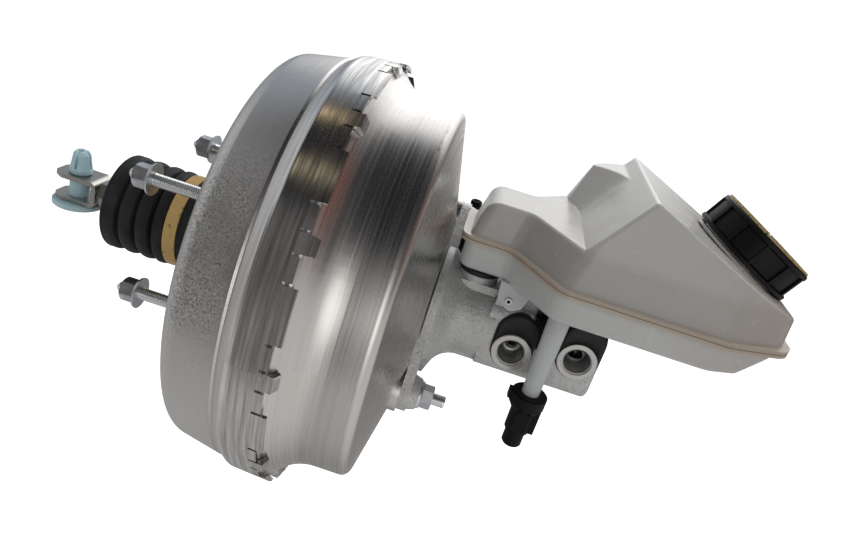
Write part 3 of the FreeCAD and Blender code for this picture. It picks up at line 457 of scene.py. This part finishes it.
def rod_with_thread(points, threads, pitch, depth, y, z, around=36, steps=6):
    """Rod about an axis along X at (y, z). Its radius is the straight line through the (x, r) points, less a
    V groove that runs as a helix: depth times the triangle wave of x / pitch minus angle / 360 degrees,
    faded in at both ends of each (start, stop) range."""
    xs = [np.array([px for px, pr in points])]
    for start, stop in threads:
        xs.append(np.linspace(start, stop, int(abs(stop - start) / pitch * steps) + 1)[1:-1])
    place = np.sort(np.concatenate(xs), kind="stable")
    known = np.array(points)
    step = np.concatenate([[0.0], np.cumsum(np.where(np.diff(known[:, 0]) == 0.0, 1e-7, 0.0))])
    radius = np.interp(place, known[:, 0] + step, known[:, 1])
    same = np.concatenate([[False], np.diff(place) == 0.0])
    for i in np.flatnonzero(same):
        hits = known[known[:, 0] == place[i], 1]
        radius[i - 1], radius[i] = hits[0], hits[-1]
    fade = np.zeros_like(place)
    for start, stop in threads:
        inside = np.minimum(place - start, stop - place) / (pitch * 0.7)
        fade = np.maximum(fade, np.clip(inside, 0.0, 1.0))
    angle = np.linspace(0.0, 2 * np.pi, around, endpoint=False)
    wave = place[:, None] / pitch - angle[None, :] / (2 * np.pi)
    thread_painted_shade = 1.0 - np.abs(2.0 * (wave - np.floor(wave)) - 1.0)
    r = radius[:, None] - depth * fade[:, None] * thread_painted_shade
    grid = np.stack([np.broadcast_to(place[:, None], r.shape), y + r * np.cos(angle), z + r * np.sin(angle)], -1)
    return skin(grid)


def joined(parts):
    """One list of points and one of faces from several."""
    places, faces, count = [], [], 0
    for some, quads in parts:
        places.append(some)
        faces.extend([[i + count for i in q] for q in quads])
        count += len(some)
    return np.concatenate(places), faces


stud_r = 0.0040
core_r = 0.0036
thread_pitch = 0.00125
thread_depth = 0.00055
sheet = 0.0020
stud_tip = -0.0600
tip_end = -0.0580
core_end = -0.0450
head_r = 0.0090
rear_stud = [
    (stud_tip, 0.0016), (tip_end, core_r), (core_end, core_r), (core_end, stud_r), (0.0, stud_r),
    (0.0, stud_r + 0.0006), (sheet, stud_r + 0.0006), (sheet, head_r), (0.0042, head_r), (0.0050, 0.0080)]
rear_corners = [(y, z) for y in (-0.040, 0.040) for z in (-0.038, 0.038)]
piece("stud_threads", *joined([
    rod_with_thread(rear_stud, [(tip_end, core_end), (core_end, -0.0006)], thread_pitch, thread_depth, y, z)
    for y, z in rear_corners]), "mounting_studs", "zinc_steel", "housing")

nose_x = 0.1270
ring_face = nose_x - 2 * sheet - 0.00005
long_end = nose_x + 0.0278
front_stud = [
    (ring_face - 0.0072, 0.0065), (ring_face - 0.0064, 0.0075), (ring_face - 0.0042, 0.0075),
    (ring_face - 0.0042, stud_r + 0.0009), (nose_x, stud_r + 0.0009), (nose_x, stud_r),
    (long_end - 0.0010, stud_r), (long_end, stud_r - 0.0010)]
front_corners = [(0.040, 0.044), (-0.040, -0.044)]
piece("cylinder_stud_threads", *joined([
    rod_with_thread(front_stud, [(nose_x + 0.0060, long_end - 0.0008)], thread_pitch, thread_depth, y, z)
    for y, z in front_corners]), "master_cylinder_studs", "zinc_steel", "housing")


# Dust boot: a rubber bellows in place of the plain folds

crest_r = 0.0310
crest_count = 4
crest_pitch = 0.0110
fold_x = -0.0416
boot_end = -0.08245
boot_hole_r = 0.0100
boot_wall = 0.0015
sleeve_r = 0.02955
first_crest = fold_x - 0.0031 - (crest_count - 1) * crest_pitch
lobe_half = crest_pitch * 0.37
lobe_sag = 0.0018
bead_height = 0.0005
groove_depth = 0.0034


def boot_line(samples=18):
    """Outer (x, radius) line of the bellows from the small hole to the sleeve. Each fold is a lobe whose radius
    is the crest less its sag times |u| to the power 2.4, u running from -1 to 1 across it, and ends in a thin
    raised bead; between two lobes lies a groove whose depth follows cosine squared."""
    across = np.linspace(-1.0, 1.0, samples)
    thread_painted_shade = np.linspace(-1.0, 1.0, samples)[1:-1]
    corner = np.linspace(0.0, math.pi / 2, 8)
    disc_round = 0.0016
    edge_x = boot_end + disc_round
    line = [np.array([[boot_end, boot_hole_r], [boot_end, 0.0200], [boot_end, 0.0262]]),
            np.stack([edge_x - disc_round * np.cos(corner),
                      crest_r - disc_round + disc_round * np.sin(corner)], 1)]
    for k in range(crest_count):
        middle = first_crest + k * crest_pitch
        low, high = middle - lobe_half, middle + lobe_half
        sag = np.full_like(across, lobe_sag)
        if k == 0:
            low = edge_x + 0.0004
            sag[across < 0.0] = 0.0003
        if k == crest_count - 1:
            high = fold_x - 0.0024
            sag[across > 0.0] = 0.0004
        x = low + (across + 1.0) / 2 * (high - low)
        bead = bead_height * np.exp(-((across - 0.93) / 0.07) ** 2)
        line.append(np.stack([x, crest_r - sag * np.abs(across) ** 2.4 + bead * (sag / lobe_sag)], 1))
        if k < crest_count - 1:
            x = middle + crest_pitch / 2 + thread_painted_shade * (crest_pitch / 2 - lobe_half)
            depth = lobe_sag + groove_depth * np.cos(thread_painted_shade * math.pi / 2) ** 2
            line.append(np.stack([x, crest_r - depth], 1))
    line.append(np.array([[fold_x - 0.0006, crest_r - 0.0010], [fold_x - 0.0001, sleeve_r]]))
    return np.concatenate(line)


def bellows(around=144):
    """The line turned round the long axis, outwards and back inside at the wall's thickness. Its radius sags by
    a tenth of a millimetre in a slow wave, as soft rubber does."""
    outer = boot_line()
    along = np.gradient(outer, axis=0)
    length = np.maximum(np.linalg.norm(along, axis=1), 1e-9)
    inward = np.stack([along[:, 1], -along[:, 0]], 1) / length[:, None]
    inner = outer + boot_wall * np.clip(inward, -1.0, 1.0)
    inner[:, 0] = np.clip(inner[:, 0], boot_end + boot_wall, fold_x - 0.0001)
    inner[:, 1] = np.maximum(inner[:, 1], boot_hole_r)
    inner[0] = (boot_end + boot_wall, boot_hole_r)
    inner[-1] = (fold_x - 0.0001, sleeve_r - boot_wall)
    ring = np.concatenate([outer, inner[::-1]])
    angle = np.linspace(0.0, 2 * np.pi, around, endpoint=False)
    x, r = ring[:, :1], ring[:, 1:]
    sag = 0.00010 * (0.5 + 0.5 * np.cos(3 * angle + 200.0 * x)) * np.clip((r - 0.024) / 0.005, 0.0, 1.0)
    r = r - sag
    grid = np.stack([np.broadcast_to(x, r.shape), r * np.cos(angle), r * np.sin(angle)], -1)
    return skin(grid, ring=True)


boot = piece("boot_bellows", *bellows(), "boot", "boot_rubber", "housing")
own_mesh(boot)


# Raised towers of the casting behind its ports, coated black

tower_half = 0.0131
tower_rise = 0.0125
tower_back = -0.0130
tower_front = -0.0243
tower_edge = 0.0022
tower_inner = 0.0108


def tower(port_x, port_z, around=96, steps=7):
    """Arch-shaped boss round a port. Its outline is a circle of the half width about the port whose upper half
    is raised by the rise; the front edge is rounded by a quarter circle, and the front runs in to a circle
    inside the port's ring and back again."""
    turn = np.linspace(0.0, 2 * np.pi, around, endpoint=False)
    lift = np.clip(np.sin(turn) * 6.0 + 0.5, 0.0, 1.0) * tower_rise
    rows = [(tower_half, 1.0, tower_back)]
    for bend in np.linspace(0.0, np.pi / 2, steps):
        inset = tower_edge * (1.0 - np.cos(bend))
        rows.append((tower_half - inset, 1.0, tower_front + tower_edge * (1.0 - np.sin(bend))))
    rows += [(tower_inner, 0.0, tower_front), (tower_inner, 0.0, tower_back)]
    grid = np.array([np.stack([port_x + r * np.cos(turn), np.full_like(turn, y),
                               port_z + r * np.sin(turn) + lift * raised], -1) for r, raised, y in rows])
    return skin(grid, ring=True)


piece("port_towers", *joined([tower(port_x, port_z) for port_x, port_z in ports]),
      None, "casting", "housing", rubber("black_coat", coat_black, 0.45))


# Camera at the photograph's viewpoint

right = Vector((0.950107, 0.153734, 0.271408))
down = Vector((0.310001, -0.368941, -0.876231))
ahead = Vector((-0.034573, 0.916651, -0.398191))
eye = Vector((0.13568, -0.40446, 0.19746))
camera_data = bpy.data.cameras.new("camera")
camera_data.sensor_width = 36.0
camera_data.lens = 29.27
camera_data.clip_start = 0.01
camera = bpy.data.objects.new("camera", camera_data)
camera.matrix_world = Matrix.Translation(eye) @ Matrix((right, -down, -ahead)).transposed().to_4x4()
scene.collection.objects.link(camera)
scene.camera = camera


# Studio: soft lamps, a pale floor far below, and a tent of soft tones for the metal to reflect

middle = Vector((0.08, 0.0, 0.0))


def lamp(name, place, width, height, watts, glossy=False):
    """Soft rectangular lamp turned to the part; a glossy one also shows in reflections."""
    data = bpy.data.lights.new(name, "AREA")
    data.shape = "RECTANGLE"
    data.size = width
    data.size_y = height
    data.energy = watts
    made = bpy.data.objects.new(name, data)
    made.location = place
    made.rotation_euler = (middle - Vector(place)).to_track_quat("-Z", "Y").to_euler()
    made.visible_glossy = glossy
    scene.collection.objects.link(made)


def heading(azimuth, elevation):
    """Unit vector; azimuth in degrees from the camera's side (-Y) towards +X, elevation from level."""
    turn, lift = math.radians(azimuth), math.radians(elevation)
    return (math.sin(turn) * math.cos(lift), -math.cos(turn) * math.cos(lift), math.sin(lift))


# Tones of the studio in reflections: azimuth, elevation, inner and outer angle from there, colour
base_tone = (0.30, 0.295, 0.29)
tones = [
    (50, -25, 30, 62, (0.72, 0.71, 0.70)),
    (-70, -40, 20, 50, (0.52, 0.515, 0.51)),
    (-20, -10, 12, 26, (0.24, 0.235, 0.23)),
    (-130, 45, 22, 48, (0.44, 0.48, 0.54)),
    (-85, 28, 18, 36, (0.66, 0.66, 0.67)),
    (20, 75, 35, 52, (0.018, 0.018, 0.022)),
    (85, 45, 20, 40, (0.035, 0.035, 0.037)),
    (65, 25, 10, 25, (0.08, 0.075, 0.07)),
    (-35, 18, 15, 30, (0.13, 0.125, 0.12)),
    (140, -8, 14, 30, (0.09, 0.085, 0.08)),
    (172, 32, 20, 36, (1.7, 1.7, 1.7)),
    (178, 0, 8, 22, (1.1, 1.1, 1.1)),
    (112, 14, 14, 28, (0.08, 0.07, 0.065)),
    (95, 20, 10, 24, (0.20, 0.085, 0.070)),
    (15, 6, 9, 22, (1.7, 1.68, 1.64)),
    (-115, 68, 1.5, 3.5, (1.50, 1.15, 0.65)),
    (-41, 60, 2, 5, (0.60, 0.52, 0.36)),
]


def studio_tent(centre, reach, drop, rows=48, columns=96):
    """Closed shell round the studio, seen only in reflections. A point is the centre plus reach times the unit
    sphere, and below the centre its height is drop times the sphere's instead."""
    lift = np.linspace(-np.pi / 2 + 1e-3, np.pi / 2 - 1e-3, rows)[:, None]
    turn = np.linspace(0.0, 2 * np.pi, columns, endpoint=False)[None, :]
    height = np.where(lift < 0.0, drop, reach) * np.sin(lift) + 0.0 * turn
    grid = np.stack([reach * np.cos(lift) * np.cos(turn), reach * np.cos(lift) * np.sin(turn), height], -1)
    places, quads = skin(grid + np.array(centre))
    mesh = bpy.data.meshes.new("studio_tent")
    mesh.from_pydata(places.tolist(), [], quads)
    made = bpy.data.objects.new("studio_tent", mesh)
    scene.collection.objects.link(made)
    p = Paint("studio_tent", Roughness=1.0, Specular_IOR_Level=0.0)
    p.set("Base Color", (0.0, 0.0, 0.0))
    away = p.node("ShaderNodeVectorMath", operation="SUBTRACT")
    p.put(away.inputs[0], p.coords())
    p.put(away.inputs[1], tuple(centre))
    unit = p.node("ShaderNodeVectorMath", operation="NORMALIZE")
    p.put(unit.inputs[0], away.outputs[0])
    colour = base_tone
    for azimuth, elevation, inner, outer, tone in tones:
        along = p.node("ShaderNodeVectorMath", operation="DOT_PRODUCT")
        p.put(along.inputs[0], unit.outputs[0])
        p.put(along.inputs[1], heading(azimuth, elevation))
        near = p.span(along.outputs["Value"], math.cos(math.radians(outer)), math.cos(math.radians(inner)))
        colour = p.mix(near, colour, tone)
    p.set("Emission Color", colour)
    p.set("Emission Strength", 1.0)
    mesh.materials.append(p.material)
    made.visible_camera = False
    made.visible_shadow = False
    made.visible_diffuse = False
    made.visible_transmission = False


lamp("key", (0.60, 0.30, 1.15), 1.0, 0.8, 6.8)
lamp("front", (0.55, -1.10, 0.70), 0.8, 0.8, 1.8)
lamp("left", (-1.00, -0.40, 0.30), 0.6, 0.8, 1.5)
lamp("rim", (0.25, 1.05, 0.70), 0.7, 0.12, 2.2, glossy=True)
studio_tent(middle, 1.25, 0.42)


def background_rays(tree):
    """1 for rays from the camera, in reflections and through clear material, 0 for all others."""
    path = tree.nodes.new("ShaderNodeLightPath")
    seen = path.outputs["Is Camera Ray"]
    for kind in ("Is Glossy Ray", "Is Transmission Ray"):
        either = tree.nodes.new("ShaderNodeMath")
        either.operation = "MAXIMUM"
        tree.links.new(seen, either.inputs[0])
        tree.links.new(path.outputs[kind], either.inputs[1])
        seen = either.outputs[0]
    return seen


def pale_world(strength):
    """White as a background, a soft grey light to everything else."""
    world = bpy.data.worlds.new("world")
    world.use_nodes = True
    tree = world.node_tree
    back = tree.nodes["Background"]
    level = tree.nodes.new("ShaderNodeMapRange")
    level.inputs["To Min"].default_value = strength
    level.inputs["To Max"].default_value = 1.0
    tree.links.new(background_rays(tree), level.inputs["Value"])
    tree.links.new(level.outputs[0], back.inputs["Strength"])
    back.inputs["Color"].default_value = (1.0, 1.0, 1.0, 1.0)
    return world


def pale_floor(z, reach, glow):
    """Flat sheet below the part that takes its shadow and glows as a background."""
    mesh = bpy.data.meshes.new("floor")
    mesh.from_pydata([(-reach, -reach, z), (reach, -reach, z), (reach, reach + 2, z), (-reach, reach + 2, z)],
                     [], [(0, 1, 2, 3)])
    made = bpy.data.objects.new("floor", mesh)
    scene.collection.objects.link(made)
    p = Paint("floor", Roughness=0.9, Specular_IOR_Level=0.1)
    p.set("Base Color", (0.86, 0.86, 0.86))
    p.set("Emission Color", (1.0, 1.0, 1.0))
    p.set("Emission Strength", p.math("MULTIPLY", background_rays(p.tree), glow))
    mesh.materials.append(p.material)


scene.world = pale_world(0.24)
pale_floor(-0.45, 6, 0.90)

scene.view_settings.view_transform = "Standard"
